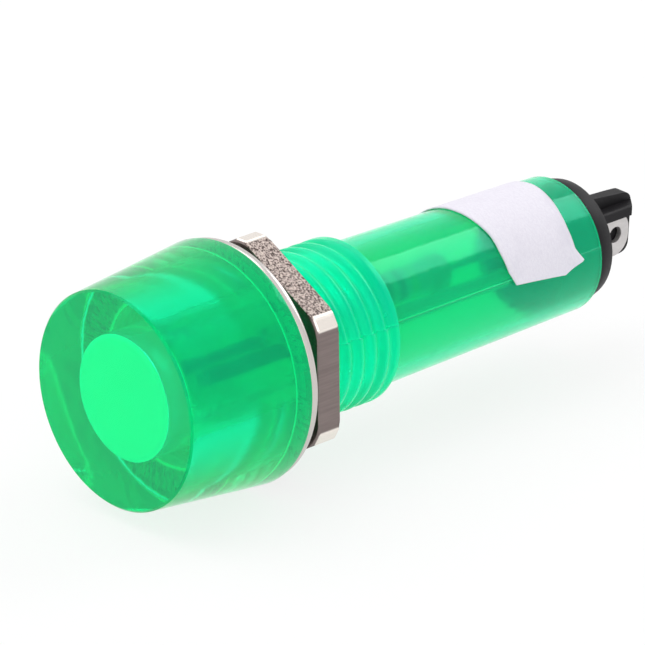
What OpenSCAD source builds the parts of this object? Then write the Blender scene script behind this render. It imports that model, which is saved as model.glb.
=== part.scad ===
// Panel pilot light for a 10 mm panel hole: a one-piece transparent lens and threaded barrel, held by a
// washer and a thin hexagon nut, with a neon lamp and its series resistor inside and two solder lugs in a
// rear plug.
//
// The axis lies along Y: the lens looks towards -Y and the solder lugs point towards +Y. The origin is the
// centre of the head's seating face, which bears on the panel, and +Z is up. All sizes are in millimetres.

/* [Head] */
// Diameter of the head at its flat front face
head_front_d = 12.9; // [12:0.1:13.4]
// Diameter of the head where it seats on the panel
head_rear_d = 14.6; // [14:0.1:16.4]
// Length of the head in front of the panel
head_len = 8.4; // [7.6:0.1:12]
// Chamfer on the crisp rim of the front face
rim_chamfer = 0.12; // [0.05:0.01:0.3]
// Radius on the head's rear edge
rear_edge_r = 0.4; // [0.2:0.05:0.8]
// Thickness of the clear wall between the front face and the bore
front_wall = 1.3; // [1:0.1:2]

/* [Barrel] */
// Major diameter of the mounting thread
thread_d = 10; // [9.4:0.1:12]
// Pitch of the mounting thread
thread_pitch = 1; // [0.75:0.25:1.25]
// Distance from the seating face to the end of the thread
thread_len = 9.2; // [8:0.1:12]
// Distance from the seating face to the rear end of the barrel
barrel_len = 26.8; // [24:0.1:32]
// Diameter of the plain tube next to the thread
tube_front_d = 8.86; // [8.7:0.02:9.2]
// Diameter of the plain tube at its rear end
tube_rear_d = 8.4; // [8.3:0.02:8.7]
// Diameter of the blind bore
bore_d = 7.5; // [7:0.1:7.6]
// Radius at the bottom of the blind bore
bore_fillet = 0.4; // [0.2:0.1:0.8]

/* [Washer and nut] */
// Outer diameter of the washer
washer_d = 14.4; // [13:0.1:16]
// Thickness of the washer
washer_t = 0.55; // [0.4:0.05:0.8]
// Radial clearance of the washer on the thread
washer_clear = 0.15; // [0.1:0.05:0.4]
// Width of the nut across its flats
nut_af = 12.5; // [12.2:0.1:14]
// Thickness of the nut
nut_t = 1.7; // [1.5:0.1:3]
// Open distance between the washer and the nut
nut_gap = 0.8; // [0:0.1:2]
// Radial running clearance of the nut's bore on the thread crests
nut_clear = 0.05; // [0.02:0.01:0.1]
// Angle of one nut corner above +X
nut_corner = 31; // [0:1:60]
// How far the nut's corners are cut back
corner_cut = 0.2; // [0.05:0.05:0.4]
// Height of the bevel that the corners get at both faces
corner_bevel = 0.15; // [0.05:0.05:0.3]

/* [Label] */
// Distance from the seating face to the label's front edge
label_from = 18.5; // [16:0.1:19.5]
// Width of the label along the tube
label_w = 6.1; // [5:0.1:7]
// Thickness of the label
label_t = 0.1; // [0.08:0.01:0.15]
// Angle of the label's lower edge above +X
label_start = 4; // [0:1:20]
// Angle that the label wraps
label_wrap = 150; // [120:1:200]
// Size of the cut at the label's lower rear corner
label_corner = 1.3; // [0.5:0.1:2]

/* [Rear plug] */
// Angle by which the plug and everything on it is turned about the axis
plug_turn = 3; // [0:1:30]
// Length of the skirt inside the tube
skirt_len = 3.2; // [2:0.1:5]
// Wall of the skirt
skirt_wall = 0.7; // [0.5:0.1:1]
// Radial clearance of the skirt in the bore
skirt_clear = 0.03; // [0.02:0.01:0.06]
// Thickness of the plug's floor inside the tube
floor_t = 1.2; // [0.8:0.1:2]
// Thickness of the flange behind the tube
flange_t = 1.3; // [1:0.05:1.8]
// How far the flange stands back from the tube's outside
flange_step = 0.25; // [0:0.05:0.3]
// How far the flange's side tapers in towards the rear
flange_taper = 0.22; // [0.1:0.02:0.6]
// Length of that taper
taper_len = 0.85; // [0.3:0.05:0.95]
// Length of the insulating barrier behind the flange
barrier_len = 5; // [4.9:0.1:7]
// Height of the barrier at its rear end
barrier_h = 4; // [3.8:0.1:4.6]
// How much higher each side of the barrier is at the flange
barrier_draft = 0.35; // [0:0.05:0.4]
// Thickness of the barrier's middle wall
web_t = 0.9; // [0.6:0.1:1.2]
// Thickness of the guard that overhangs each lug
guard_t = 0.34; // [0.3:0.02:0.6]
// Overlap of the guard on its lug
guard_lap = 0.24; // [0.12:0.02:0.6]
// Step from the top of the middle wall down to the guard
guard_step = 0.6; // [0.5:0.05:0.7]
// How far the guard's rear end stands back from the middle wall's
guard_back = 0.7; // [0.4:0.05:1.2]
// Radius on the guard's long outer edge
guard_round = 0.22; // [0.1:0.02:0.3]
// Radius of the barrier's rear corners
barrier_round = 0.7; // [0.5:0.1:1.4]

/* [Solder lugs] */
// Width of a lug's blade
lug_w = 2.8; // [2.5:0.1:3]
// Thickness of a lug
lug_t = 0.4; // [0.3:0.05:0.5]
// Radius of the eyelet
eyelet_r = 0.52; // [0.4:0.02:0.7]
// Distance of a lug's middle line from the barrier's middle
lug_offset = 0.4; // [0.2:0.05:0.5]
// Length of a blade up to the eyelet's centre
lug_reach = 3.35; // [2.6:0.05:4]
// Distance from the eyelet's centre to the end of the blade
lug_end = 1.16; // [1:0.02:1.3]
// Radius of the blade's rear corners
lug_round = 1.2; // [0.4:0.1:1.2]
// Width of the tail that passes through the plug
tail_w = 1.4; // [1:0.1:1.8]
// Length of the tail that stands in the tube beyond the plug's floor
tail_len = 2.8; // [2.4:0.1:4]
// Clearance all round a lug in its slot
slot_clear = 0.02; // [0.01:0.01:0.05]

/* [Neon lamp] */
// Diameter of the glass bulb
bulb_d = 5.8; // [5:0.1:6.2]
// Length of the glass bulb without its seal
bulb_len = 10.4; // [8:0.1:12]
// Thickness of the glass
glass_t = 0.45; // [0.3:0.05:0.6]
// Gap between the bulb's tip and the bottom of the bore
tip_gap = 0.4; // [0.2:0.1:1]
// Radius of the sealed-off tip
tip_r = 0.45; // [0.3:0.05:0.6]
// Length of the pinched seal
seal_len = 2.2; // [1.5:0.1:3]
// Width of the pinched seal
seal_w = 3.8; // [3:0.1:4.4]
// Thickness of the pinched seal
seal_t = 1.4; // [1:0.1:2]
// Distance between the two electrodes
electrode_pitch = 1.9; // [1.6:0.1:2.2]
// Diameter of an electrode
electrode_d = 0.9; // [0.6:0.1:1.1]
// Length of an electrode
electrode_len = 5.6; // [4:0.1:6]
// Radius of the lamp's two leads
lead_r = 0.2; // [0.15:0.01:0.25]

/* [Resistor and wiring] */
// Diameter of the resistor's end bulges
resistor_d = 2.4; // [1.8:0.1:2.6]
// Length of the resistor
resistor_len = 6.4; // [5:0.1:7]
// Radius on the resistor's ends
resistor_round = 0.5; // [0.3:0.05:0.6]
// Diameter of the resistor between its end bulges
resistor_slim_d = 2.06; // [1.6:0.02:2.2]
// Distance from the seating face to the resistor's front end
resistor_from = 12; // [11:0.1:13]
// Radius of the resistor's two leads
resistor_lead_r = 0.22; // [0.18:0.01:0.28]
// Distance of the straight lead's run from the axis
run_x = 1.6; // [1.5:0.1:2.2]
// Outer radius of the sleeve on the straight lead
sleeve_r = 0.5; // [0.45:0.05:0.6]
// Radial clearance between a lead and its sleeve
sleeve_clear = 0.08; // [0.05:0.01:0.15]
// Gap between each end of the sleeve and the bend beside it
sleeve_gap = 0.6; // [0.4:0.1:1]
// Gap between the lamp's seal and the splice
splice_gap = 1.4; // [1:0.1:2]
// Length of the soldered splice between the lamp and the resistor
splice_len = 1.2; // [1:0.1:1.6]
// Radius of a solder joint
solder_r = 0.55; // [0.5:0.05:0.65]
// Wall of the shrunk sleeve over the splice
shrink_wall = 0.22; // [0.15:0.01:0.3]
// How far the shrunk sleeve runs past each end of the splice
shrink_lap = 0.8; // [0.5:0.1:1]

/* [Hidden] */

clear = [0.12, 0.82, 0.5, 0.45];
nickel = [0.72, 0.7, 0.69];
black = [0.09, 0.09, 0.1];
tinned = [0.75, 0.75, 0.74];
round_fn = 96;
wire_fn = 24;
slit = 0.01;         // play left between solder, glass or paper and what it lies on
cut = 1;             // how far a cutting solid runs past what it cuts
root = 0.1;          // how far the barrier reaches into the flange that it stands on
skirt_lead = 0.1;    // chamfer on the skirt's front edge
cap_slope = 0.4;     // length over which a resistor's end bulge narrows
shoulder = 0.45;     // radius of the bulb's rear shoulder, as a share of the bulb's own
tip_sink = 0.6;      // how deep the bulb's tip sits in its dome, as a share of the tip's radius
anchor = 0.6;        // glass that a lead passes through before its electrode
joint_back = 0.8;    // distance of a solder joint from the front end of a tail, and from the bend before it
run_gap = 2.4;       // distance from the lamp's seal to the end of the lead's first bend
lead_end = 0.7;      // how far a lead runs on past its solder joint
bend_r = 1.2;        // bend radius of the leads

thread_r = thread_d / 2;
thread_depth = 0.54 * thread_pitch;
bore_r = bore_d / 2;
bore_bottom = -head_len + front_wall;
nut_from = washer_t + nut_gap;
nut_corner_r = nut_af / 2 / cos(30);
flange_r = tube_rear_d / 2 - flange_step;
skirt_r = bore_r - skirt_clear;
plug_rear = barrel_len + flange_t;
floor_from = barrel_len - floor_t;
lug_x = web_t / 2 + slot_clear;
tail_from = floor_from - tail_len;
bulb_from = bore_bottom + tip_gap;
bulb_to = bulb_from + bulb_len;
bulb_r = bulb_d / 2;
seal_to = bulb_to + seal_len;
electrode_x = electrode_pitch / 2;
electrode_to = bulb_to - glass_t - anchor;
splice_from = seal_to + splice_gap;
splice_to = splice_from + splice_len;
resistor_x = electrode_x + lead_r + resistor_lead_r + slit;
resistor_to = resistor_from + resistor_len;
splice_x = -(electrode_x + resistor_x) / 2;
joint_x = lug_x + lug_t;             // outer face of a lug's tail, which its lead lies on
joint_y = tail_from + joint_back;    // middle of the solder joint on a tail
tail_bend = joint_y - joint_back;    // where both leads reach the lugs' tails
run_from = seal_to + run_gap;        // where the lead to the right lug reaches its run
lead_x = joint_x + lead_r + slit;    // where that lead lies along its tail
lug_top = lug_w / 2 - lug_offset + slot_clear;
slot_out = lug_x + lug_t + slot_clear;
guard_x = slot_out + guard_t;
eyelet_y = plug_rear + lug_reach;
lug_rear = eyelet_y + lug_end;
barrier_rear = plug_rear + barrier_len;
barrier_top = barrier_h / 2;

// Points of an arc about (cx, cy), from angle a0 to angle a1 in n steps
function arc(cx, cy, r, a0, a1, n = 6) =
    [for (i = [0:n]) let (a = a0 + (a1 - a0) * i / n) [cx + r * cos(a), cy + r * sin(a)]];

// Outer radius of the tapered tube at a distance from the seating face
function tube_r(y) =
    (tube_front_d + (tube_rear_d - tube_front_d) * (y - thread_len) / (barrel_len - thread_len)) / 2;

// Revolves an outline of [radius, distance along the axis] about the Y axis
module turned(outline, fn = round_fn) rotate([-90, 0, 0]) rotate_extrude($fn = fn) polygon(outline);

// A plain round rod along Y
module rod(r, from, to, x = 0, z = 0, fn = wire_fn)
    translate([x, from, z]) rotate([-90, 0, 0]) cylinder(r = r, h = to - from, $fn = fn);

// Extrudes an outline of [y, z] along X
module side_plate(x, t) translate([x, 0, 0]) rotate([90, 0, 90]) linear_extrude(t) children();

// Turn in degrees of each arc in a double bend from x0 to x1, and the bend's length along the axis
function bend_turn(x0, x1) = acos(1 - abs(x1 - x0) / 2 / bend_r);
function bend_len(x0, x1) = 2 * bend_r * sin(bend_turn(x0, x1));

// Points [x, y] of a double bend, two equal arcs that carry a wire from x0 to x1 and end at the distance y1
function double_bend(x0, x1, y1, n = 5) =
    let (way = sign(x1 - x0), a = bend_turn(x0, x1), y0 = y1 - bend_len(x0, x1)) concat(
        [for (i = [0:n]) [x0 + way * bend_r * (1 - cos(a * i / n)), y0 + bend_r * sin(a * i / n)]],
        [for (i = [n - 1:-1:0]) [x1 - way * bend_r * (1 - cos(a * i / n)), y1 - bend_r * sin(a * i / n)]]);

// A wire of radius r swept along [x, y] points in the plane z = 0
module wire(path, r, sides = 12) {
    last = len(path) - 1;
    rings = [for (i = [0:last])
        let (d = path[min(i + 1, last)] - path[max(i - 1, 0)], across = [d.y, -d.x] / norm(d))
            for (k = [0:sides - 1]) let (a = 360 * k / sides)
                [path[i].x + r * cos(a) * across.x, path[i].y + r * cos(a) * across.y, r * sin(a)]];
    walls = [for (i = [0:last - 1], k = [0:sides - 1])
        let (a = i * sides + k, b = i * sides + (k + 1) % sides) [a, a + sides, b + sides, b]];
    ends = [[for (k = [0:sides - 1]) k], [for (k = [sides - 1:-1:0]) last * sides + k]];
    polyhedron(rings, concat(walls, ends));
}

// Turns everything that the plug carries with the plug
module with_plug() rotate([0, plug_turn, 0]) children();

// ---- Outside ----

// One moulding: the tapered head, the threaded barrel and the plain tube, with one blind bore from the rear
module lens_body() color(clear) turned(concat(
    [[0, -head_len], [head_front_d / 2 - rim_chamfer, -head_len]],
    [[head_front_d / 2, -head_len + rim_chamfer]],
    arc(head_rear_d / 2 - rear_edge_r, -rear_edge_r, rear_edge_r, 0, 90),
    [[thread_r, 0], [thread_r, thread_len - thread_depth], [tube_front_d / 2, thread_len]],
    [[tube_rear_d / 2, barrel_len - rim_chamfer], [tube_rear_d / 2 - rim_chamfer, barrel_len]],
    [[bore_r, barrel_len]],
    arc(bore_r - bore_fillet, bore_bottom + bore_fillet, bore_fillet, 0, -90),
    [[0, bore_bottom]]));

module washer() color(nickel) difference() {
    rod(washer_d / 2, 0, washer_t, fn = round_fn);
    rod(thread_r + washer_clear, -cut, washer_t + cut, fn = round_fn);
}

// Hexagon bar stock: the corners are turned back a little and bevelled at both faces
module hex_nut() color(nickel) translate([0, nut_from, 0]) difference() {
    r = nut_corner_r - corner_cut;
    intersection() {
        rotate([-90, 0, 0]) rotate(-nut_corner) cylinder(r = nut_corner_r, h = nut_t, $fn = 6);
        turned([[0, 0], [r - corner_bevel, 0], [r, corner_bevel],
            [r, nut_t - corner_bevel], [r - corner_bevel, nut_t], [0, nut_t]]);
    }
    rod(thread_r + nut_clear, -cut, nut_t + cut, fn = round_fn);
}

// A paper strip wrapped part of the way round the tapered tube, with one corner cut off
module label() color("white") difference() {
    rotate([-90, -label_start - label_wrap, 0]) rotate_extrude(angle = label_wrap, $fn = round_fn)
        polygon([for (p = [[0, 0], [1, 0], [1, 1], [0, 1]])
            let (y = label_from + p.y * label_w) [tube_r(y) + slit + p.x * label_t, y]]);
    rotate([0, -label_start, 0]) translate([tube_rear_d / 2, label_from + label_w, 0]) rotate([45, 0, 0])
        cube([4 * cut, label_corner * sqrt(2), label_corner * sqrt(2)], center = true);
}

// ---- Rear plug and solder lugs ----

// Half of the barrier's section in [x, z]: the round-topped middle wall, and the lower guard over one lug
module barrier_half() {
    side = web_t / 2;
    guard = barrier_top - guard_step;
    polygon(concat([[-side, 0]], arc(0, barrier_top + barrier_draft - side, side, 180, 0, 8),
        [[side, guard]], arc(guard_x - guard_round, guard - guard_round, guard_round, 90, 0),
        [[guard_x, lug_top - guard_lap], [slot_out, lug_top - guard_lap], [slot_out, lug_top]],
        [[side, lug_top], [side, 0]]));
}

// The barrier's outline in [y, z]: both sides fall a little towards the rounded rear corners
module side_outline() polygon(concat(
    [[plug_rear - root, -barrier_top - barrier_draft], [plug_rear - root, barrier_top + barrier_draft]],
    [[plug_rear, barrier_top + barrier_draft]],
    arc(barrier_rear - barrier_round, barrier_top - barrier_round, barrier_round, 90, 0),
    arc(barrier_rear - barrier_round, barrier_round - barrier_top, barrier_round, 0, -90),
    [[plug_rear, -barrier_top - barrier_draft]]));

// The barrier's plan in [x, y]: the rear end of each guard stands back from the middle wall's
module plan_outline() polygon([[-guard_x - cut, plug_rear - root], [guard_x + cut, plug_rear - root],
    [guard_x + cut, barrier_rear - guard_back], [guard_x, barrier_rear - guard_back],
    [web_t / 2, barrier_rear], [-web_t / 2, barrier_rear],
    [-guard_x, barrier_rear - guard_back], [-guard_x - cut, barrier_rear - guard_back]]);

module barrier() intersection() {
    translate([0, barrier_rear + cut, 0]) rotate([90, 0, 0]) linear_extrude(barrier_len + root + cut)
        for (turn = [0, 180]) rotate(turn) barrier_half();
    side_plate(-flange_r, 2 * flange_r) side_outline();
    translate([0, 0, -flange_r]) linear_extrude(2 * flange_r) plan_outline();
}

// The plug's turned part in [radius, distance]: the floor, the skirt inside the tube and the tapered flange
function plug_outline() = let (inner = skirt_r - skirt_wall, front = barrel_len - skirt_len) [
    [0, floor_from], [inner, floor_from], [inner, front], [skirt_r - skirt_lead, front],
    [skirt_r, front + skirt_lead], [skirt_r, barrel_len], [flange_r, barrel_len],
    [flange_r, plug_rear - taper_len], [flange_r - flange_taper, plug_rear], [0, plug_rear]];

module rear_plug() color(black) with_plug() difference() {
    union() {
        turned(plug_outline());
        barrier();
    }
    for (turn = [0, 180]) rotate([0, turn, 0])
        translate([lug_x - slot_clear, floor_from - cut, -lug_offset - tail_w / 2 - slot_clear])
            cube([lug_t + 2 * slot_clear, floor_t + flange_t + cut + slit, tail_w + 2 * slot_clear]);
}

// A flat solder lug: a blade with an eyelet and rounded rear corners, and a narrower tail through the plug
module lug() side_plate(lug_x, lug_t) translate([0, -lug_offset]) difference() {
    side = lug_w / 2;
    front = plug_rear + slot_clear;
    polygon(concat(
        [[tail_from, tail_w / 2], [tail_from, -tail_w / 2], [front, -tail_w / 2], [front, -side]],
        arc(lug_rear - lug_round, lug_round - side, lug_round, -90, 0),
        arc(lug_rear - lug_round, side - lug_round, lug_round, 0, 90),
        [[front, side], [front, tail_w / 2]]));
    translate([eyelet_y, 0]) circle(r = eyelet_r, $fn = round_fn);
}

module terminal_right() color(tinned) with_plug() lug();
module terminal_left() color(tinned) with_plug() rotate([0, 180, 0]) lug();

// ---- Neon lamp ----

// Outline of a round-ended bulb in [radius, distance], of which a smaller one inside makes the cavity
function bulb_outline(r, from, to) = let (bend = r * shoulder) concat(
    [[0, from]], arc(0, from + r, r, -90, 0, 10), arc(r - bend, to - bend, bend, 0, 90), [[0, to]]);

module bulb_glass() color([0.85, 0.9, 0.92, 0.35]) with_plug() difference() {
    union() {
        turned(bulb_outline(bulb_r, bulb_from + tip_r * tip_sink, bulb_to));
        translate([0, bulb_from + tip_r, 0]) sphere(r = tip_r, $fn = wire_fn);
        translate([-seal_w / 2, bulb_to - glass_t / 2, -seal_t / 2])
            cube([seal_w, seal_len + glass_t / 2, seal_t]);
    }
    turned(bulb_outline(bulb_r - glass_t, bulb_from + tip_r * tip_sink + glass_t, bulb_to - glass_t));
    for (side = [-1, 1]) rod(lead_r + slit, electrode_to, seal_to + cut, x = side * electrode_x);
}

module electrode(side) color([0.6, 0.6, 0.62]) with_plug()
    rod(electrode_d / 2, electrode_to - electrode_len, electrode_to, x = side * electrode_x);

module electrode_right() electrode(1);
module electrode_left() electrode(-1);

// ---- Wiring inside the tube ----

// Lamp lead that runs past the resistor to the right lug
module lead_right() color("silver") with_plug()
    wire(concat([[electrode_x, electrode_to]], double_bend(electrode_x, run_x, run_from),
        double_bend(run_x, lead_x, tail_bend), [[lead_x, joint_y + lead_end]]), lead_r);

// Lamp lead that ends in the splice
module lead_left() color("silver") with_plug()
    rod(lead_r, electrode_to, splice_to, x = -electrode_x);

module lead_sleeve() color([0.9, 0.88, 0.8]) with_plug() difference() {
    rod(sleeve_r, run_from + sleeve_gap, tail_bend - bend_len(run_x, lead_x) - sleeve_gap, x = run_x);
    rod(lead_r + sleeve_clear, run_from, tail_bend, x = run_x);
}

// Carbon-film resistor: a slim body between two bulged end caps, each as long as its radius
module resistor() color([0.75, 0.62, 0.42]) with_plug() translate([-resistor_x, 0, 0])
    let (r = resistor_d / 2, slim = resistor_slim_d / 2, end = resistor_round) turned(concat(
        [[0, resistor_from]], arc(r - end, resistor_from + end, end, -90, 0),
        [[r, resistor_from + r], [slim, resistor_from + r + cap_slope], [slim, resistor_to - r - cap_slope],
        [r, resistor_to - r]], arc(r - end, resistor_to - end, end, 0, 90), [[0, resistor_to]]), 48);

module resistor_lead_front() color("silver") with_plug()
    rod(resistor_lead_r, splice_from, resistor_from, x = -resistor_x);

module resistor_lead_rear() color("silver") with_plug() let (end_x = -joint_x - resistor_lead_r - slit)
    wire(concat([[-resistor_x, resistor_to]], double_bend(-resistor_x, end_x, tail_bend),
        [[end_x, joint_y + lead_end]]), resistor_lead_r);

// Solder round the two leads that lie side by side in the splice
module splice_solder() color(tinned) with_plug() difference() {
    translate([splice_x, (splice_from + splice_to) / 2, 0]) sphere(r = solder_r, $fn = wire_fn);
    rod(lead_r + slit, electrode_to, splice_to + cut, x = -electrode_x);
    rod(resistor_lead_r + slit, splice_from - cut, resistor_from, x = -resistor_x);
}

// Shrunk sleeve over the splice
module splice_sleeve() color([0.15, 0.15, 0.16]) with_plug() difference() {
    rod(solder_r + sleeve_clear + shrink_wall, splice_from - shrink_lap, splice_to + shrink_lap,
        x = splice_x, fn = 48);
    rod(solder_r + sleeve_clear, splice_from - cut, splice_to + cut, x = splice_x, fn = 48);
}

// Solder that joins a lead to the outer face of a lug's tail
module tail_solder(side, r) color(tinned) with_plug() difference() {
    translate([side * (joint_x + r), joint_y, 0]) sphere(r = solder_r, $fn = wire_fn);
    rod(r + slit, joint_y - 2 * cut, joint_y + 2 * cut, x = side * (joint_x + r + slit));
    translate([side * (joint_x - lug_t / 2), joint_y, 0])
        cube([lug_t + 2 * slit, 4 * cut, 4 * cut], center = true);
}

module solder_right() tail_solder(1, lead_r);
module solder_left() tail_solder(-1, resistor_lead_r);

lens_body();
washer();
hex_nut();
label();
rear_plug();
terminal_right();
terminal_left();
bulb_glass();
electrode_right();
electrode_left();
lead_right();
lead_left();
lead_sleeve();
resistor();
resistor_lead_front();
resistor_lead_rear();
splice_solder();
splice_sleeve();
solder_right();
solder_left();
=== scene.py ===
# %% [markdown]
# # A panel pilot light
# The lamp is one green moulding with a neon bulb inside, held in a panel by a washer and a thin nut. The packed
# model gives every piece its place and size. This script gives each one the surface that light falls on: the
# moulded thread, the stamped nut, the paper label, and clear plastic that light really passes through.

# %% Load the frame
import math

import bmesh
import bpy
import numpy as np
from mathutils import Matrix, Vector


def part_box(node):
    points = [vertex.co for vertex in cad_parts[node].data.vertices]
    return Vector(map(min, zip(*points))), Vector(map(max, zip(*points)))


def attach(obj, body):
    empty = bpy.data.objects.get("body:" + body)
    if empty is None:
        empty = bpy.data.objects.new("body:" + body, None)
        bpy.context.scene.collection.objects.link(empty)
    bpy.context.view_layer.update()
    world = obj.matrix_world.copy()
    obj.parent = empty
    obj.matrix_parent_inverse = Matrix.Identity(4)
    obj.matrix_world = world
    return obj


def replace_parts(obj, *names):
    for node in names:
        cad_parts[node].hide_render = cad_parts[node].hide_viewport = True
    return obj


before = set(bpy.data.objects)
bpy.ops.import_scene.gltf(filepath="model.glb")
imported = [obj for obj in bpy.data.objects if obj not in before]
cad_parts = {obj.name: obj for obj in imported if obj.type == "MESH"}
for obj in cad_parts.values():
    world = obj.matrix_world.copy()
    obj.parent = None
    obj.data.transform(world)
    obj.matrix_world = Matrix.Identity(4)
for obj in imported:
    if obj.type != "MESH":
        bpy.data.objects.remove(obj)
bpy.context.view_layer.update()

MM = 0.001


def box(node):
    """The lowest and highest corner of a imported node, in millimetres."""
    return [np.array(corner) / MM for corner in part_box(node)]


lens_low, lens_high = box("lens_body")
nut_low, nut_high = box("hex_nut")
washer_low, washer_high = box("washer")
print("lens from", lens_low.round(2), "to", lens_high.round(2))

# %% [markdown]
# ## Sizes that a box can't tell
# A box gives how long and wide a piece is, but not where its outline turns. These few values, in millimetres and
# degrees, are the ones that the construction itself was drawn from.

# %% Driving sizes
FRONT_R = 12.9 / 2        # radius of the flat front face
RIM = 0.12                # chamfer on the front rim
REAR_EDGE = 0.15          # radius on the head's rear edge
THREAD_R = 5.0            # crest radius of the thread
PITCH = 1.0               # travel of one turn of thread
THREAD_END = 9.2          # where the thread stops
TUBE_FRONT_R = 8.86 / 2   # tube radius behind the thread
TUBE_REAR_R = 8.4 / 2     # tube radius at the rear
BORE_R = 7.5 / 2          # radius of the blind bore
FRONT_WALL = 1.3          # clear plastic in front of the bore
BORE_FILLET = 0.4         # radius at the bottom of the bore
PARTING = 13.5            # angle of the mould's parting line above +X
NUT_FLAT = 12.5 / 2       # from the axis to a flat of the nut
NUT_CORNER = 31.0         # angle of one nut corner above +X
NUT_CORNER_R = NUT_FLAT / math.cos(math.radians(30)) - 0.2    # radius that the corners are turned back to
NUT_BORE_R = THREAD_R + 0.05
WASHER_BORE_R = THREAD_R + 0.15


# %% [markdown]
# ## Surfaces from arrays
# Most pieces here are turned: a profile of radius and distance is carried round the axis. The same grid helper
# makes any surface of two parameters, so a thread or a curled label is only a different formula.

# %% Mesh helpers
def grid_mesh(name, points, close_rows=False, close_columns=False, sharp=40.0):
    """A mesh from an array of points [row, column, xyz] in millimetres, where each cell of the grid is one face.

    Rows or columns may be joined end to end."""
    rows, columns = points.shape[:2]
    index = np.arange(rows * columns).reshape(rows, columns)
    if close_rows:
        index = np.vstack([index, index[:1]])
    if close_columns:
        index = np.hstack([index, index[:, :1]])
    faces = np.stack([index[:-1, :-1], index[1:, :-1], index[1:, 1:], index[:-1, 1:]], axis=-1).reshape(-1, 4)
    mesh = bpy.data.meshes.new(name)
    mesh.from_pydata((points.reshape(-1, 3) * MM).tolist(), [], faces.tolist())
    return finish_mesh(name, mesh, sharp)


def finish_mesh(name, mesh, sharp=40.0, flat_join=None):
    """Merges points that coincide, turns faces outwards, smooths the shading and puts the mesh in an object.

    Edges sharper than the given angle in degrees stay crisp. With flat_join, faces that lie within that angle of
    each other are joined into one first, which clears away the triangles of a flat side."""
    bm = bmesh.new()
    bm.from_mesh(mesh)
    bmesh.ops.remove_doubles(bm, verts=bm.verts, dist=1e-7)
    if flat_join is not None:
        bmesh.ops.dissolve_limit(bm, angle_limit=math.radians(flat_join), verts=bm.verts, edges=bm.edges)
    bmesh.ops.recalc_face_normals(bm, faces=bm.faces)
    for face in bm.faces:
        face.smooth = True
    bm.to_mesh(mesh)
    bm.free()
    mesh.set_sharp_from_angle(angle=math.radians(sharp))
    piece = bpy.data.objects.new(name, mesh)
    bpy.context.scene.collection.objects.link(piece)
    return piece


def arc(centre, radius, start, stop, steps=8):
    """Points on part of a circle, by cosine and sine of evenly spaced angles in degrees."""
    angle = np.radians(np.linspace(start, stop, steps + 1))
    return np.stack([centre[0] + radius * np.cos(angle), centre[1] + radius * np.sin(angle)], axis=1)


def chain(*parts):
    """Joins single points and runs of points into one outline."""
    return np.vstack([np.atleast_2d(np.asarray(part, float)) for part in parts])


def subdivide(outline, step):
    """Adds points along an outline so that no two are further apart than step."""
    runs = []
    for start, stop in zip(outline[:-1], outline[1:]):
        count = max(1, int(np.ceil(np.linalg.norm(stop - start) / step)))
        runs.append(start + (stop - start) * np.linspace(0, 1, count, endpoint=False)[:, None])
    return np.vstack(runs + [outline[-1:]])


def turned(radius, along, angles):
    """Points at a radius, a distance and an angle about the Y axis: x is r cos a, y is the distance, z is r sin a."""
    return np.stack(np.broadcast_arrays(radius * np.cos(angles), along, radius * np.sin(angles)), axis=-1)


def whole_turn(count):
    """Evenly spaced angles round the axis, in radians, with the last one left out because the grid closes."""
    return np.linspace(0, 2 * np.pi, count, endpoint=False)


# %% [markdown]
# ## The green moulding
# Head, thread and tube are one piece of clear plastic, so they are one closed surface: down the outside, round the
# rear end and back up the bore. Light bends at every wall of it, so the thread has to be real geometry. Its groove
# is a smooth wave of the distance along the axis minus the turn, which is what makes it a helix and not rings. The
# mould closes along two lines, and a hair of plastic stands up along each of them.

# %% Lens outlines
def lens_outline():
    """The outside as [radius, distance] from the middle of the front face to the rear end of the tube."""
    head = chain((0, lens_low[1]), (FRONT_R - RIM, lens_low[1]), (FRONT_R, lens_low[1] + RIM),
                 arc((lens_high[0] - REAR_EDGE, -REAR_EDGE), REAR_EDGE, 4, 90), (THREAD_R, 0))
    thread = chain((THREAD_R, 0.001), (THREAD_R, THREAD_END - 0.15), (THREAD_R - 0.15, THREAD_END),
                   (TUBE_FRONT_R, THREAD_END + 0.06))
    tube = chain((TUBE_FRONT_R, THREAD_END + 0.1), (TUBE_REAR_R, lens_high[1] - RIM), (TUBE_REAR_R - RIM, lens_high[1]))
    return [subdivide(head, 0.5), subdivide(thread, PITCH / 20), subdivide(tube, 0.6)]


def bore_outline():
    """The inside as [radius, distance] from the tube's rear end to the middle of the bore's bottom."""
    bottom = lens_low[1] + FRONT_WALL
    return subdivide(chain((BORE_R, lens_high[1]),
                           arc((BORE_R - BORE_FILLET, bottom + BORE_FILLET), BORE_FILLET, 0, -90), (0, bottom)), 0.6)


# %% Thread and parting line
def lens_angles():
    """Angles round the axis, evenly spaced but with four more close to each parting line."""
    close = np.radians([-0.6, -0.3, 0.3, 0.6])
    lines = np.radians([PARTING, PARTING + 180])
    return np.sort(np.concatenate([whole_turn(240) + np.radians(PARTING)] + [line + close for line in lines]))


def thread_cut(along, angles, depth=0.3):
    """How deep the thread is cut, in millimetres: a cosine of the distance in pitches plus the turn.

    The phase climbs a pitch in a turn, which winds the groove into a right-hand helix. The two halves of the mould
    meet a little out of step, so the phase jumps at the parting line. The cut fades out at both ends."""
    off_half = np.where(np.sin(angles - np.radians(PARTING)) > 0, 0.07, -0.07)
    phase = along / PITCH + angles / (2 * np.pi) + off_half
    wave = (0.5 - 0.5 * np.cos(2 * np.pi * phase)) ** 1.25
    fade = np.clip((along - 0.3) / 0.6, 0, 1) * np.clip((THREAD_END - 0.35 - along) / 0.6, 0, 1)
    return depth * wave * fade


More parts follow.
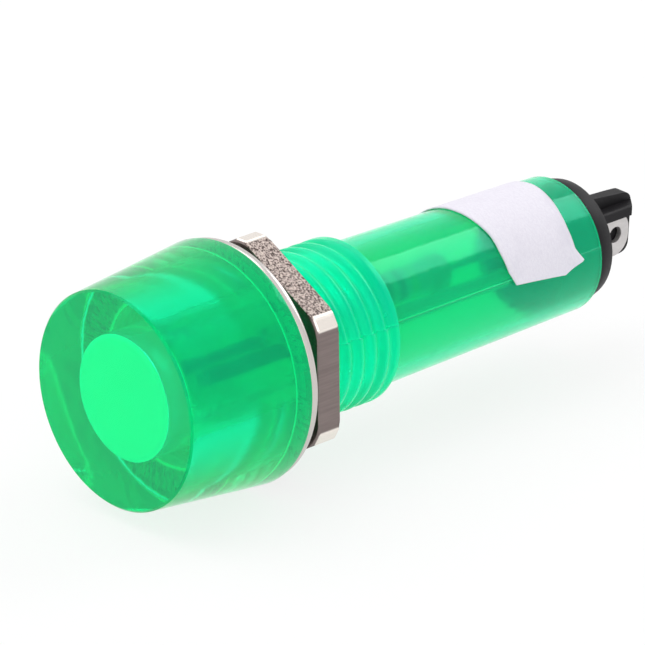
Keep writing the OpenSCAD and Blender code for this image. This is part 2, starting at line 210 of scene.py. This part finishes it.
def parting_ridge(angles, height=0.03, width=0.4):
    """A hair-thin ridge along both parting lines: a bell curve of the angle from the nearest line, in degrees."""
    off = (np.degrees(angles) - PARTING + 90) % 180 - 90
    return height * np.exp(-(off / width) ** 2)


# %% Lens body
def lens_body():
    """Outside and bore as one closed turned surface, with the thread and the parting ridge in its radius."""
    head, thread, tube = range(3)
    parts = lens_outline() + [bore_outline()]
    part = np.repeat(range(len(parts)), [len(outline) for outline in parts])[:, None]
    radius, along = np.hsplit(np.vstack(parts), 2)
    front_rim, rear_band = along < lens_low[1] + 0.3, (along > -1.1) & (along < -0.05)
    rims = (part == head) & (radius > FRONT_R - 0.01) & (front_rim | rear_band)
    angles = lens_angles()
    radius = radius - np.where(part == thread, thread_cut(along, angles), 0)
    radius = radius + np.where(rims | (part == thread) | (part == tube), parting_ridge(angles), 0)
    return grid_mesh("green_lens", turned(radius, along, angles), close_columns=True, sharp=35)


def number_faces(piece, index, test):
    """Gives a material number to the faces whose centre passes a test of its radius and distance."""
    centres = np.empty(len(piece.data.polygons) * 3, np.float32)
    piece.data.polygons.foreach_get("center", centres)
    numbers = np.zeros(len(piece.data.polygons), np.int32)
    piece.data.polygons.foreach_get("material_index", numbers)
    x, y, z = centres.reshape(-1, 3).T / MM
    numbers[test(np.hypot(x, z), y)] = index
    piece.data.polygons.foreach_set("material_index", numbers)


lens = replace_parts(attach(lens_body(), "housing"), "lens_body")
print("lens faces", len(lens.data.polygons))

# %% [markdown]
# ## Washer and nut
# The washer is punched from sheet, so its edge is a plain band with a slightly rounded side and a sharp one. The nut
# is sliced from hexagon bar: the radius to its side is the flat's distance over the cosine of the angle from the
# flat's middle, cut off at the circle that the corners are turned back to. Both are one closed section carried
# round the axis, and the nut's bore has its own thread.

# %% Washer
def washer_body(soft=0.22, burr=0.03):
    """A rectangle with two rounded corners and two crisp ones, carried round the axis."""
    low, high, outer, inner = washer_low[1], washer_high[1], washer_high[0], WASHER_BORE_R
    section = chain((inner + burr, low), (outer - burr, low), (outer, low + burr),
                    arc((outer - soft, high - soft), soft, 0, 90, 5), arc((inner + soft, high - soft), soft, 90, 180, 5),
                    (inner, low + burr))
    return grid_mesh("washer_ring", turned(section[:, :1], section[:, 1:], whole_turn(180)),
                     close_rows=True, close_columns=True, sharp=50)


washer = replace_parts(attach(washer_body(), "washer"), "washer")
print("washer faces", len(washer.data.polygons))


# %% Nut
def nut_angles():
    """Angles that put a point on each end of every flat and a few more on the turned corners between them."""
    half = 30 - math.degrees(math.acos(NUT_FLAT / NUT_CORNER_R))
    sector = np.concatenate([np.linspace(-half, half, 5), np.linspace(half, 60 - half, 15)[1:-1]])
    return np.radians(NUT_CORNER + (60 * np.arange(6)[:, None] + sector).ravel())


def nut_radius(angles, depth, bevel=0.15, soft=0.05):
    """Distance from the axis to the nut's side, at a depth below the nearer face.

    It is the flat's distance over the cosine of the angle from the flat's middle, but no more than the turned
    corner, and both come in close to a face: the corner by a bevel, and the whole side by a soft edge."""
    off = (np.degrees(angles) - NUT_CORNER) % 60 - 30
    corner = NUT_CORNER_R - np.clip(bevel - depth, 0, None)
    return np.minimum(NUT_FLAT / np.cos(np.radians(off)), corner) - np.clip(soft - depth, 0, None)


def nut_body(groove=0.3, mouth=0.3):
    """Front face, side, rear face and threaded bore as one closed section carried round the axis."""
    low, high, angles = nut_low[1], nut_high[1], nut_angles()
    depth = np.array([0, 0.05, 0.15])
    side = np.concatenate([low + depth, high - depth[::-1]])[:, None]
    outer = nut_radius(angles, np.minimum(side - low, high - side))
    bore = np.linspace(high, low, 35)[:, None]
    wave = 0.5 + 0.5 * np.cos(2 * np.pi * (bore / PITCH + angles / (2 * np.pi)))
    cone = np.clip(mouth - np.minimum(bore - low, high - bore), 0, None)
    inner = NUT_BORE_R + np.maximum(groove * wave, cone)
    along = np.vstack([np.broadcast_to(side, outer.shape), np.broadcast_to(bore, inner.shape)])
    return grid_mesh("hex_nut_plated", turned(np.vstack([outer, inner]), along, angles),
                     close_rows=True, close_columns=True, sharp=24)


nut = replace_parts(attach(nut_body(), "nut"), "hex_nut")
print("nut faces", len(nut.data.polygons))

# %% [markdown]
# ## Paper label
# The label is a strip of paper stuck round the tube. It was cut by hand and put on a little askew, so its edges are
# measured one by one, and its lower rear corner has come loose. A sheet of two parameters, the turn and the place
# across the strip, follows the tube, and the loose corner is lifted by its distance from the corner's tip.

# %% Label
LABEL_TURNS = [2, 9, 20, 36, 51, 68, 88, 154]                               # degrees above +X
LABEL_FRONT = [19.5, 19.2, 18.8, 18.65, 18.65, 18.45, 18.3, 18.3]           # front edge at those turns
LABEL_REAR = [24.2, 24.8, 24.45, 24.4, 24.5, 24.68, 24.9, 25.0]             # rear edge at those turns
LABEL_ACROSS = [0, 0.82, 1]                                                 # shares of the strip's width
LABEL_LOWER = [8.6, 2.2, 10.5]                                              # turn of the lower edge at those shares
LOOSE_ALONG, LOOSE_TURN = 24.85, 8.0                                        # tip of the loose corner
LOOSE_LIFT, EDGE_LIFT = 0.34, 0.06                                          # how far the corner and edge stand up
GLUE = 0.02                                                                 # layer between tube and paper
PAPER = 0.09                                                                # thickness of the paper


def tube_radius(along):
    """The outside of the tube, which tapers in a straight line from the thread to its rear end."""
    return TUBE_FRONT_R + (TUBE_REAR_R - TUBE_FRONT_R) * (along - THREAD_END) / (lens_high[1] - THREAD_END)


def label_sheet(rows=110, columns=34):
    """A sheet over the tube whose four edges follow the measured ones, with one corner curled away.

    The lower edge slants, so the turn that a row starts from depends on the place across the strip. The lift is
    the square of how far a point lies inside an oval round the loose corner, and a little more along the edge."""
    across = np.linspace(0, 1, columns)
    start = np.interp(across, LABEL_ACROSS, LABEL_LOWER)
    turn = start + (LABEL_TURNS[-1] - start) * np.linspace(0, 1, rows)[:, None] ** 1.3
    front, rear = np.interp(turn, LABEL_TURNS, LABEL_FRONT), np.interp(turn, LABEL_TURNS, LABEL_REAR)
    along = front + (rear - front) * across
    from_corner = np.hypot((along - LOOSE_ALONG) / 1.3, (turn - LOOSE_TURN) / 18)
    from_edge = np.abs((turn - start) / 9)
    lift = LOOSE_LIFT * np.clip(1 - from_corner, 0, None) ** 2 + EDGE_LIFT * np.clip(1 - from_edge, 0, None) ** 2
    ripple = 0.012 * np.sin(along * 2.1 + turn * 0.11) * np.sin(turn * 0.07)
    radius = tube_radius(along) + GLUE + PAPER + lift + np.abs(ripple)
    return grid_mesh("label_strip", turned(radius, along, np.radians(turn)), sharp=60)


label = label_sheet()
thick = label.modifiers.new("paper thickness", "SOLIDIFY")
thick.thickness, thick.offset = PAPER * MM, -1
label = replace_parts(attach(label, "housing"), "label")
print("label faces", len(label.data.polygons))

# %% [markdown]
# ## Rear plug and lugs
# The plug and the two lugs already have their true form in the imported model, but its edges are perfectly sharp, and
# a sharp edge never catches a highlight. A copy of each is joined up, its flat sides are made whole again, and a
# Bevel modifier rounds what is left of the sharp edges.

# %% Softened copies
def softened(node, name, body, width, segments=3, angle=28):
    """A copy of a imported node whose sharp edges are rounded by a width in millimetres."""
    piece = finish_mesh(name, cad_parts[node].data.copy(), sharp=180, flat_join=1.0)
    piece.data.materials.clear()
    bevel = piece.modifiers.new("rounded edges", "BEVEL")
    bevel.width, bevel.segments = width * MM, segments
    bevel.limit_method, bevel.angle_limit = "ANGLE", math.radians(angle)
    piece.modifiers.new("flat sides stay flat", "WEIGHTED_NORMAL").weight = 80
    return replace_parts(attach(piece, body), node)


plug = softened("rear_plug", "rear_plug_moulding", "housing", 0.12)
lugs = [softened(f"terminal_{side}", f"lug_{side}", "housing", 0.05, 2) for side in ("right", "left")]
print("plug faces", len(plug.data.polygons))

# %% [markdown]
# ## Shader formulas
# Colour, roughness and bump change over a surface by a formula of the place. A small class wraps an output socket
# so that such a formula reads as arithmetic, and each operator adds the Math node that does it.

# %% Node helpers
class Value:
    """One output socket whose arithmetic adds Math nodes."""

    def __init__(self, finish, socket):
        self.finish, self.socket = finish, socket

    def math(self, operation, *inputs):
        return self.finish.node("ShaderNodeMath", {"operation": operation}, dict(enumerate(inputs)))

    def __add__(self, other):
        return self.math("ADD", self, other)

    def __radd__(self, other):
        return self.math("ADD", other, self)

    def __sub__(self, other):
        return self.math("SUBTRACT", self, other)

    def __rsub__(self, other):
        return self.math("SUBTRACT", other, self)

    def __mul__(self, other):
        return self.math("MULTIPLY", self, other)

    def __rmul__(self, other):
        return self.math("MULTIPLY", other, self)

    def between(self, low, high):
        """0 below low, 1 above high, and a soft rise between them. With high below low it falls instead."""
        if high < low:
            return 1 - self.between(high, low)
        return self.finish.node("ShaderNodeMapRange", {"interpolation_type": "SMOOTHSTEP"},
                                {"Value": self, "From Min": low, "From Max": high})


class Nodes:
    """A node tree that grows by one method: a node's type, its settings, then the values or links it takes."""

    def __init__(self, owner):
        owner.use_nodes = True
        self.tree = owner.node_tree
        self.tree.nodes.clear()

    def set(self, node, inputs):
        """Gives each named or numbered socket a number, a colour or a link."""
        for key, value in inputs.items():
            if isinstance(value, Value):
                self.tree.links.new(value.socket, node.inputs[key])
            else:
                node.inputs[key].default_value = value

    def node(self, kind, settings, inputs, output=0):
        """Adds a node of any type: its settings first, then its sockets. Returns the chosen output."""
        node = self.tree.nodes.new(kind)
        for key, value in settings.items():
            setattr(node, key, value)
        self.set(node, inputs)
        return Value(self, node.outputs[output])


class Finish(Nodes):
    """A material made of nodes round one Principled shader, whose fixed values are given by name."""

    def __init__(self, name, **fixed):
        self.material = bpy.data.materials.new(name)
        super().__init__(self.material)
        self.output = self.tree.nodes.new("ShaderNodeOutputMaterial")
        self.shader = self.tree.nodes.new("ShaderNodeBsdfPrincipled")
        self.tree.links.new(self.shader.outputs[0], self.output.inputs["Surface"])
        self.vary(**fixed)
        self.place = self.node("ShaderNodeTexCoord", {}, {}, "Object")

    def vary(self, **inputs):
        """Sets or links the shader's own sockets, written as base_color for Base Color."""
        self.set(self.shader, {key.replace("_", " ").title().replace("Ior", "IOR"): value
                               for key, value in inputs.items()})

    def noise(self, scale, detail=3.0, stretch=(1, 1, 1), offset=(0, 0, 0)):
        """A soft random cloud of the place, in cells per millimetre, drawn out along an axis by a small stretch."""
        place = self.node("ShaderNodeMapping", {}, {"Vector": self.place, "Location": offset, "Scale": stretch})
        return self.node("ShaderNodeTexNoise", {}, {"Vector": place, "Scale": scale / MM, "Detail": detail})

    def axes(self):
        """The place as three values in millimetres."""
        split = self.tree.nodes.new("ShaderNodeSeparateXYZ")
        self.tree.links.new(self.place.socket, split.inputs[0])
        return [Value(self, split.outputs[k]) * (1 / MM) for k in range(3)]

    def from_axis(self):
        """Distance from the Y axis in millimetres: the length of the place once its Y is taken away."""
        flat = self.node("ShaderNodeVectorMath", {"operation": "MULTIPLY"}, {0: self.place, 1: (1 / MM, 0, 1 / MM)})
        return self.node("ShaderNodeVectorMath", {"operation": "LENGTH"}, {0: flat}, "Value")

    def mix(self, mask, low, high):
        """A colour that runs from low to high as the mask goes from 0 to 1."""
        return self.node("ShaderNodeMix", {"data_type": "RGBA"}, {0: mask, 6: low, 7: high}, 2)

    def bump(self, height, distance, strength=1.0):
        """Feeds the shader's normal with a height, where distance is the height's full depth in millimetres."""
        normal = self.node("ShaderNodeBump", {}, {"Height": height, "Distance": distance * MM, "Strength": strength})
        self.vary(normal=normal)

    def volume(self, colour, density):
        """Fills the piece with a dye that takes light by density times one minus colour on every metre."""
        dye = self.node("ShaderNodeVolumeAbsorption", {}, {"Color": colour, "Density": density})
        self.tree.links.new(dye.socket, self.output.inputs["Volume"])

    def give(self, *pieces, keep=False):
        """Puts the finished material on pieces, in place of what they have or after it."""
        for piece in pieces:
            if not keep:
                piece.data.materials.clear()
            piece.data.materials.append(self.material)


def rgb(red, green, blue):
    """A colour from the three values of 0 to 255 that a screen shows, made linear as a renderer needs it."""
    return tuple((c / 255 / 12.92 if c / 255 <= 0.04045 else ((c / 255 + 0.055) / 1.055) ** 2.4)
                 for c in (red, green, blue)) + (1.0,)


# %% [markdown]
# ## Clear green plastic
# The plastic is dyed right through, so a long way through it looks deeper than a short one. The surface colour
# tints light a little where it goes in and out, and the volume takes more of it on every millimetre between. Cheap
# clear plastic is also a little milky, so part of the light is spread inside it. The bottom of the bore is left
# rough by the mould's core, and shows through the front face as an even disc, made brighter by a painted glow.
# All the plastic has some of this painted glow, light that it gives off though it is no lamp: a little on the
# outside and in the bore, more on the thread, and most on the disc and the head's rear face.

# %% Green plastic
GREEN = rgb(4, 252, 210)                       # tint that a surface gives to light going in or out
MILKY = rgb(0, 255, 190)                       # plastic where it spreads light instead of letting it through
GLINT = rgb(90, 255, 225)                      # tint of what the plastic mirrors head on
PAINTED_GLOW = rgb(0, 240, 135)                        # colour of the painted glow that the plastic gives off, though it is no lamp
DYE, DYE_DENSITY = (0.0, 0.95, 0.78, 1), 260.0


def green(name, tint, clear, rough, bump, scale, glow, stretch=(1, 1, 1)):
    """Dyed plastic that lets the clear share of the light through, with its gloss and surface uneven by a noise.

    The little glow is painted light: the plastic gives it off though it is no lamp, in place of light that milky
    plastic would gather on one side and give off on another."""
    finish = Finish(name, ior=1.49, transmission_weight=clear, specular_ior_level=0.35, specular_tint=GLINT,
                    emission_color=PAINTED_GLOW, emission_strength=glow)
    uneven = finish.noise(scale, 3, stretch)
    finish.vary(base_color=finish.mix(finish.noise(0.2, 2), tint, tuple(0.94 * c for c in tint[:3]) + (1.0,)),
                roughness=rough + rough * uneven)
    finish.bump(uneven, bump)
    finish.volume(DYE, DYE_DENSITY)
    return finish


lens.data.materials.clear()
# the last number of each finish is the strength of its painted glow, which lights the plastic though it is no lamp
for finish in (green("green_plastic", GREEN, 0.9, 0.05, 0.012, 0.9, 0.07),
               green("green_bore", GREEN, 0.85, 0.13, 0.01, 3, 0.07, (1, 0.06, 1)),
               green("green_disc", MILKY, 0.1, 0.4, 0.004, 6, 0.3),
               green("green_thread", GREEN, 0.6, 0.16, 0.012, 1.5, 0.12)):
    finish.give(lens, keep=True)
disc_from = lens_low[1] + FRONT_WALL
number_faces(lens, 1, lambda r, y: (r < BORE_R + 0.01) & (y > disc_from - 0.01))
# the bore's bottom takes the milky finish, whose strong painted glow makes the disc bright
number_faces(lens, 2, lambda r, y: (r < BORE_R - 0.02) & (abs(y - disc_from) < BORE_FILLET))
# the head's rear face takes the same milky finish and strong painted glow
number_faces(lens, 2, lambda r, y: (r > THREAD_R) & (abs(y) < 0.01))
number_faces(lens, 3, lambda r, y: (r > TUBE_FRONT_R + 0.05) & (r < THREAD_R + 0.05) & (y > 0.01))
print("lens finishes", [material.name for material in lens.data.materials])

# %% [markdown]
# ## Plated steel
# Both metal pieces are nickel plated, and the plating follows whatever the steel below it was like. The washer keeps
# the rings of its polishing. On the nut, the faces carry turning rings, and its sides are the bar's own: one was
# rolled rough and grainy, the others have fine drawing lines along the bar.

# %% Nickel
def washer_nickel():
    """Polishing rings: a noise of the distance from the axis alone."""
    finish = Finish("nickel_washer", metallic=1.0, base_color=rgb(206, 200, 196))
    rings = finish.node("ShaderNodeTexNoise", {"noise_dimensions": "1D"},
                        {"W": finish.from_axis(), "Scale": 9, "Detail": 3})
    finish.vary(roughness=0.16 + 0.16 * rings)
    finish.bump(rings, 0.01, 0.4)
    return finish


def nut_nickel(rough_flat=61):
    """Grain on the flat whose middle is at rough_flat degrees, drawing lines on the rest, rings on both faces."""
    finish = Finish("nickel_nut", metallic=1.0)
    x, y, z = finish.axes()
    a = math.radians(rough_flat)
    towards = x * math.cos(a) + z * math.sin(a)
    grainy = towards.between(NUT_FLAT - 0.12, NUT_FLAT - 0.05)
    grain = finish.noise(8, 3)
    lines = finish.noise(7, 3, (1, 0.05, 1))
    rings = finish.node("ShaderNodeTexNoise", {"noise_dimensions": "1D"},
                        {"W": finish.from_axis(), "Scale": 8, "Detail": 2})
    # the turned corners are a real smoother band, and their near-white colour is a painted highlight
    turned_corner_painted_highlight = finish.from_axis().between(NUT_CORNER_R - 0.1, NUT_CORNER_R - 0.04)
    speckle = grain.between(0.5, 0.36) * grainy
    steel = finish.mix(lines, rgb(112, 101, 99), rgb(146, 133, 130))
    steel = finish.mix(grainy * grain.between(0.4, 0.66), steel, rgb(196, 182, 174))
    steel = finish.mix(speckle, steel, rgb(70, 58, 54))
    # near-white on the turned corners is a painted highlight; the lower roughness and the softer bump there are the
    # real turned band
    finish.vary(base_color=finish.mix(turned_corner_painted_highlight, steel, rgb(240, 232, 224)),
                roughness=0.3 + 0.12 * lines + 0.2 * grainy * grain - 0.15 * turned_corner_painted_highlight)
    height = grainy * grain * 1.6 + (1 - grainy) * (lines * 0.35 + rings * 0.2)
    finish.bump(height * (1 - 0.8 * turned_corner_painted_highlight), 0.06, 0.8)
    return finish


washer_nickel().give(washer)
nut_nickel().give(nut)

# %% [markdown]
# ## Black plastic, paper and tinned brass
# The plug is moulded with a fine satin grain that softens every highlight. Paper is matt, with fibres that lie along
# the strip. The lugs were punched from tinned brass strip, so rolling lines run along them and the tin is dull.

# %% Satin black
def black_plastic():
    """Moulded black with a fine satin grain and a faint cloud in its colour."""
    finish = Finish("black_plastic", specular_ior_level=0.2)
    grain = finish.noise(9, 3)
    finish.vary(base_color=finish.mix(finish.noise(0.6, 3), rgb(16, 15, 18), rgb(24, 22, 26)),
                roughness=0.42 + 0.16 * grain)
    finish.bump(grain, 0.012, 0.5)
    return finish


def shrunk_plastic():
    """Sleeve that has shrunk into soft folds, which lie along it."""
    finish = Finish("shrunk_plastic", specular_ior_level=0.4)
    folds = finish.noise(1.6, 3, (1, 0.3, 1))
    finish.vary(base_color=finish.mix(folds, rgb(18, 18, 20), rgb(34, 33, 36)), roughness=0.35 + 0.2 * folds)
    finish.bump(folds, 0.08, 0.7)
    return finish


black_plastic().give(plug)
shrunk_plastic().give(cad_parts["splice_sleeve"])


# %% Paper
def paper():
    """White paper: two sizes of fibre, and a wide stain that greys it a little."""
    finish = Finish("label_paper", specular_ior_level=0.3)
    fibres = finish.noise(9, 4, (0.5, 1, 0.5)) * 0.5 + finish.noise(22, 2) * 0.5
    stain = finish.noise(0.35, 3)
    clean = finish.mix(fibres.between(0.35, 0.65), rgb(222, 218, 229), rgb(231, 228, 237))
    finish.vary(base_color=finish.mix(stain.between(0.5, 0.75) * 0.5, clean, rgb(214, 210, 222)),
                roughness=0.6 + 0.25 * fibres)
    finish.bump(fibres, 0.005, 0.4)
    return finish


paper().give(label)


# %% Tin
def tin(name, light, dark, along, rough):
    """Dull tin: rolling lines drawn out along one axis, and cloudy patches where the tin lies thicker."""
    finish = Finish(name, metallic=0.85)
    lines = finish.noise(6, 3, along)
    cloud = finish.noise(1.1, 4)
    finish.vary(base_color=finish.mix(cloud * 0.6 + lines * 0.4, dark, light), roughness=rough + 0.2 * cloud)
    finish.bump(lines * 0.5 + cloud, 0.02, 0.5)
    return finish


tin("tinned_lug", rgb(226, 223, 222), rgb(186, 182, 182), (1, 0.08, 1), 0.42).give(*lugs)
tin("tinned_wire", rgb(212, 210, 206), rgb(160, 156, 150), (1, 0.1, 1), 0.2).give(
    *[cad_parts[name] for name in ("lead_right", "lead_left", "resistor_lead_front", "resistor_lead_rear")])
tin("solder", rgb(206, 206, 204), rgb(150, 148, 146), (1, 1, 1), 0.18).give(
    *[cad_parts[name] for name in ("splice_solder", "solder_right", "solder_left")])

# %% [markdown]
# ## What shows through the plastic
# The bulb is clear glass with its gas, the electrodes are dull nickel, and the resistor wears a lacquer with four
# colour bands. All of it is only seen bent and blurred through the green wall, but it is there from every side.

# %% Lamp and resistor
def lamp_glass():
    """Clear glass with the soft unevenness of drawn tube."""
    finish = Finish("lamp_glass", base_color=rgb(250, 252, 252), ior=1.5, transmission_weight=1.0)
    drawn = finish.noise(0.5, 2, (1, 0.4, 1))
    finish.vary(roughness=0.01 + 0.03 * drawn)
    finish.bump(drawn, 0.05, 0.4)
    return finish


def electrode_metal():
    """Dull nickel, pitted all over."""
    finish = Finish("electrode_metal", metallic=1.0)
    pits = finish.noise(5, 4)
    finish.vary(base_color=finish.mix(pits, rgb(110, 108, 106), rgb(170, 166, 160)), roughness=0.35 + 0.3 * pits)
    finish.bump(pits, 0.03, 0.6)
    return finish


def woven_sleeve():
    """Varnished glass sleeve: two sets of threads that cross, as sines of the distance plus and minus the turn."""
    finish = Finish("woven_sleeve")
    x, y, z = finish.axes()
    one_way, other_way = y * 9 + z * 6, y * 9 - z * 6
    weave = one_way.math("SINE", one_way) * other_way.math("SINE", other_way)
    finish.vary(base_color=finish.mix(weave * 0.5 + 0.5, rgb(196, 190, 165), rgb(232, 228, 208)), roughness=0.5)
    finish.bump(weave, 0.03, 0.5)
    return finish


BANDS = ((0.17, rgb(120, 60, 30)), (0.36, rgb(20, 20, 20)), (0.52, rgb(230, 190, 40)), (0.8, rgb(190, 150, 60)))


def resistor_coat(half=0.3, edge=0.05):
    """Lacquer with one ring of colour for each band, all placed as shares of the resistor's length."""
    finish = Finish("resistor_coat", coat_weight=0.3)
    low, high = (corner[1] for corner in box("resistor"))
    x, y, z = finish.axes()
    colour = finish.mix(finish.noise(3, 3), rgb(196, 164, 112), rgb(212, 182, 132))
    for place, band in BANDS:
        front, rear = low + place * (high - low) - half, low + place * (high - low) + half
        colour = finish.mix(y.between(front, front + edge) * y.between(rear, rear - edge), colour, band)
    lumps = finish.noise(0.8, 3)
    finish.vary(base_color=colour, roughness=0.25 + 0.15 * lumps)
    finish.bump(lumps, 0.06, 0.4)
    return finish


lamp_glass().give(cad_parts["bulb_glass"])
electrode_metal().give(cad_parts["electrode_right"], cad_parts["electrode_left"])
woven_sleeve().give(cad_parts["lead_sleeve"])
resistor_coat().give(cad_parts["resistor"])

# %% [markdown]
# ## Floor, light and camera
# The lamp lies on a pale floor that curves up behind it. The camera, mirrors and clear plastic see floor and sky as
# white, while the light that falls on the object stays plain: one soft lamp above and to the left, one in front and
# one behind.

# %% Stage
SEEN = ("Is Camera Ray", "Is Glossy Ray", "Is Transmission Ray")


def seen_directly(nodes):
    """1 for a ray from the camera, a mirror or clear plastic, and 0 for one that only carries light to a surface."""
    path = nodes.tree.nodes.new("ShaderNodeLightPath")
    first, second, third = (Value(nodes, path.outputs[name]) for name in SEEN)
    return first.math("MAXIMUM", first.math("MAXIMUM", first, second), third)


def floor(half=600, bend_at=250, bend=150, top=900):
    """A pale floor that touches the lowest edge of the head, and curves up into a backdrop far behind."""
    low = lens_low[2] - 0.02
    profile = chain((-half, low), (bend_at, low), arc((bend_at, low + bend), bend, -90, 0, 12), (bend_at + bend, top))
    along, up = profile[:, :1], profile[:, 1:]
    across = np.linspace(-half, half, 3)[None, :]
    return grid_mesh("floor", np.stack(np.broadcast_arrays(across, along, up), axis=-1), sharp=180)


def floor_white(share=0.8):
    """Matt white, of which the given share shows as plain white where it is seen directly."""
    finish = Finish("floor_white", base_color=(0.9, 0.9, 0.9, 1), roughness=0.9)
    finish.bump(finish.noise(0.05, 2), 0.2, 0.1)
    glow = finish.node("ShaderNodeEmission", {}, {"Color": (1, 1, 1, 1)})
    matt = Value(finish, finish.shader.outputs[0])
    mix = finish.node("ShaderNodeMixShader", {}, {0: seen_directly(finish) * share, 1: matt, 2: glow})
    finish.tree.links.new(mix.socket, finish.output.inputs["Surface"])
    return finish


ground = floor()
floor_white().give(ground)


def softbox(name, place, size, watts, aim=(0, 8, 0)):
    """A square area lamp at a place in millimetres, facing a point."""
    light = bpy.data.lights.new(name, "AREA")
    light.size, light.energy = size * MM, watts
    lamp = bpy.data.objects.new(name, light)
    bpy.context.scene.collection.objects.link(lamp)
    lamp.location = Vector(place) * MM
    lamp.rotation_euler = (Vector(aim) - Vector(place)).to_track_quat("-Z", "Y").to_euler()


softbox("key", (-200, -100, 450), 500, 1.3)
softbox("fill", (350, -300, 150), 400, 0.5)
softbox("rear", (60, 300, 220), 200, 0.35)

# %% Sky
SKY = 0.6                  # strength of the white sky that lights the object

world = bpy.data.worlds.new("studio")
bpy.context.scene.world = world
sky = Nodes(world)
bright = SKY + (1 - SKY) * seen_directly(sky)
background = sky.node("ShaderNodeBackground", {}, {"Color": (1, 1, 1, 1), "Strength": bright})
world_output = sky.tree.nodes.new("ShaderNodeOutputWorld")
sky.tree.links.new(background.socket, world_output.inputs["Surface"])
bpy.context.scene.view_settings.view_transform = "Standard"

# %% Camera
AIM = (-0.11, 7.78, 0.20)  # point that the camera looks at, in millimetres
AZIMUTH, ELEVATION = 46.23, 22.08    # degrees round from the front, and up
DISTANCE = 288.24          # from that point to the camera, in millimetres
FOCAL = 279.07             # focal length, in millimetres

camera = bpy.data.objects.new("camera", bpy.data.cameras.new("camera"))
bpy.context.scene.collection.objects.link(camera)
a, e = math.radians(AZIMUTH), math.radians(ELEVATION)
back = Vector((math.sin(a) * math.cos(e), -math.cos(a) * math.cos(e), math.sin(e)))
camera.location = (Vector(AIM) + back * DISTANCE) * MM
camera.rotation_euler = (-back).to_track_quat("-Z", "Y").to_euler()
camera.data.lens = FOCAL
camera.data.clip_start, camera.data.clip_end = 0.01, 10
bpy.context.scene.camera = camera
